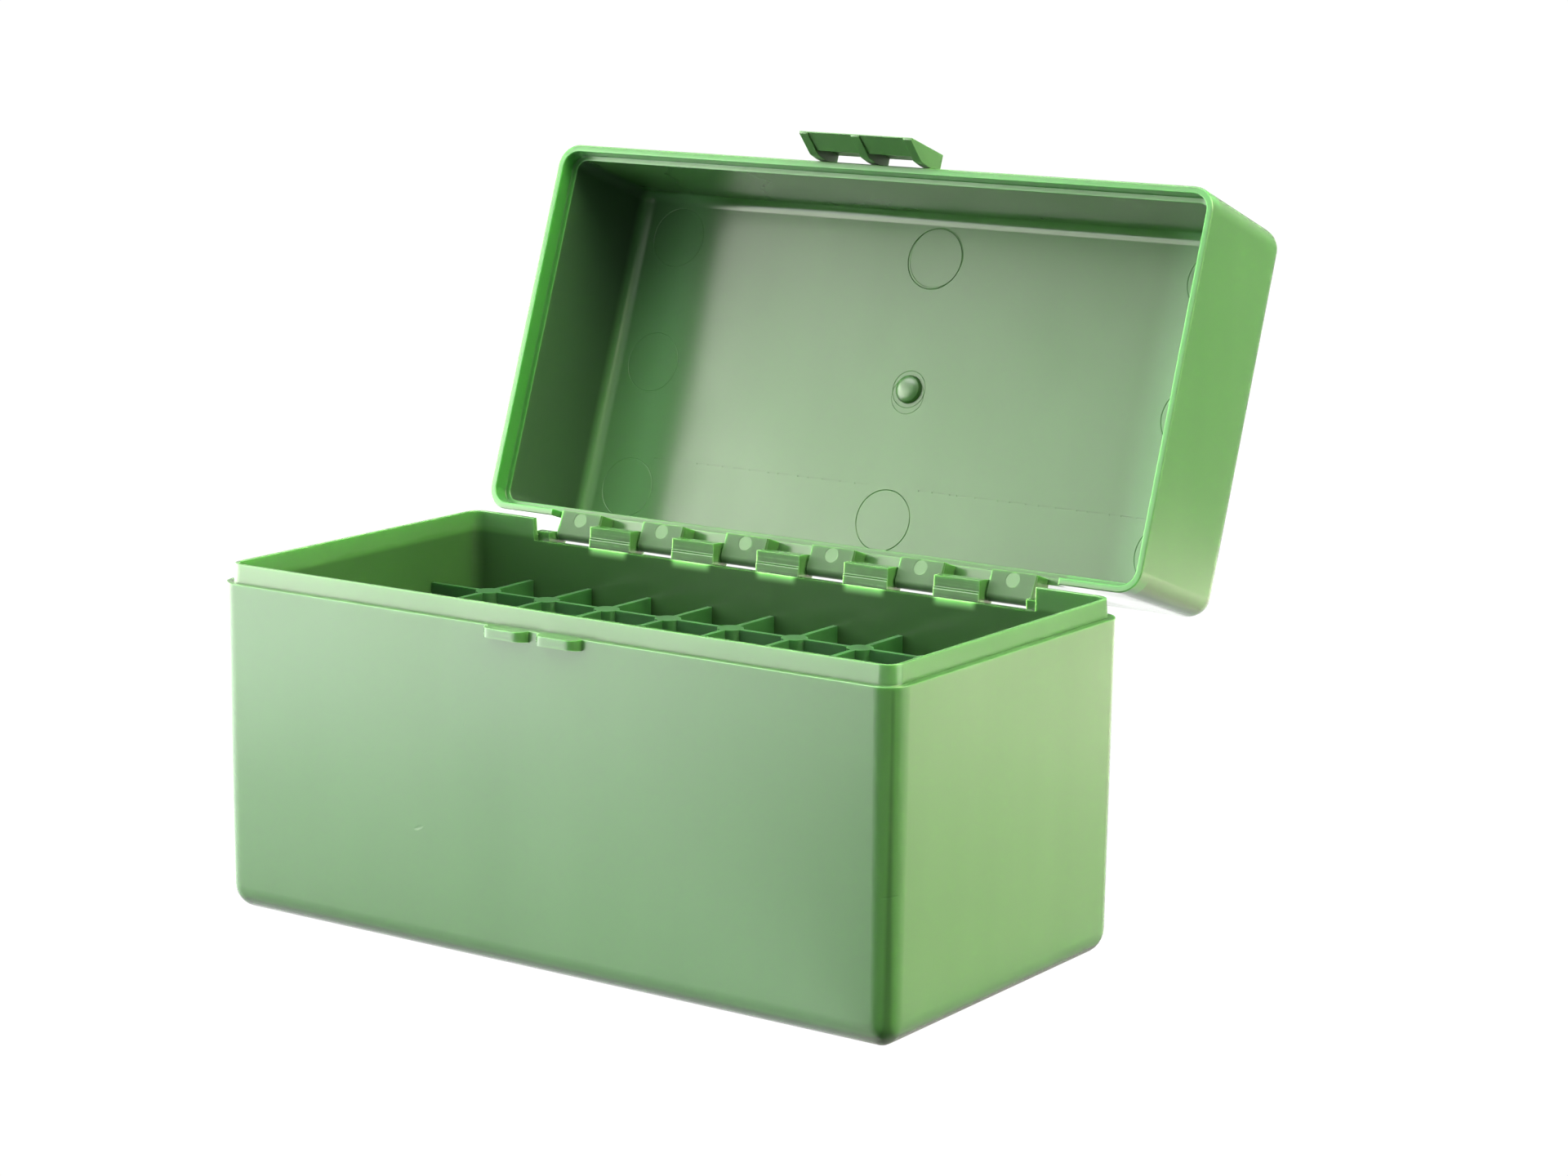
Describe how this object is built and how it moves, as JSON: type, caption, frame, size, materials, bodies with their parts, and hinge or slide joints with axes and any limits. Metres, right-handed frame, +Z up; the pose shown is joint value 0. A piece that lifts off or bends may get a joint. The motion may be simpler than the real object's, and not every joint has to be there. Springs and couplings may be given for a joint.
{
  "type": "divided flip-top tackle box",
  "caption": "Moulded box with a locating lip, a snap-shut hinged lid and a lift-out grid of square cells for small tackle or other slim items.",
  "frame": {"origin": "centre of the flat underside of the base", "axes": "+X along the long side and the hinge, -Y out of the front wall with the catch lugs, +Z up; the lid is thrown back on its stop"},
  "size_m": [0.1504, 0.1362, 0.1434],
  "materials": {
    "shell": "satin-gloss translucent polypropylene, mid green",
    "insert": "satin translucent polypropylene, deeper green"
  },
  "bodies": {
    "base": {"base": "shell"},
    "divider": {"divider_long_rib_1": "insert", "divider_long_rib_2": "insert", "divider_long_rib_3": "insert", "divider_long_rib_4": "insert", "divider_cross_rib_1": "insert", "divider_cross_rib_2": "insert", "divider_cross_rib_3": "insert", "divider_cross_rib_4": "insert", "divider_cross_rib_5": "insert", "divider_cross_rib_6": "insert", "divider_cross_rib_7": "insert", "divider_cross_rib_8": "insert", "divider_cross_rib_9": "insert"},
    "lid": {"lid": "shell"},
    "catch": {"catch_tab": "shell"}
  },
  "joints": [
    {"name": "lid_hinge", "type": "hinge", "parent": "base", "child": "lid", "pos_m": [0, 0.0408, 0.063], "axis": [1, 0, 0], "range_deg": [0, 109.4]},
    {"name": "catch_flex", "type": "hinge", "parent": "lid", "child": "catch", "pos_m": [0, 0.07113, 0.13618], "axis": [-1, 0, 0], "range_deg": [0, 12], "stiffness_Nm_per_rad": 0.05},
    {"name": "divider_lift", "type": "slide", "parent": "base", "child": "divider", "axis": [0, 0, 1], "range_m": [0, 0.036]}
  ]
}
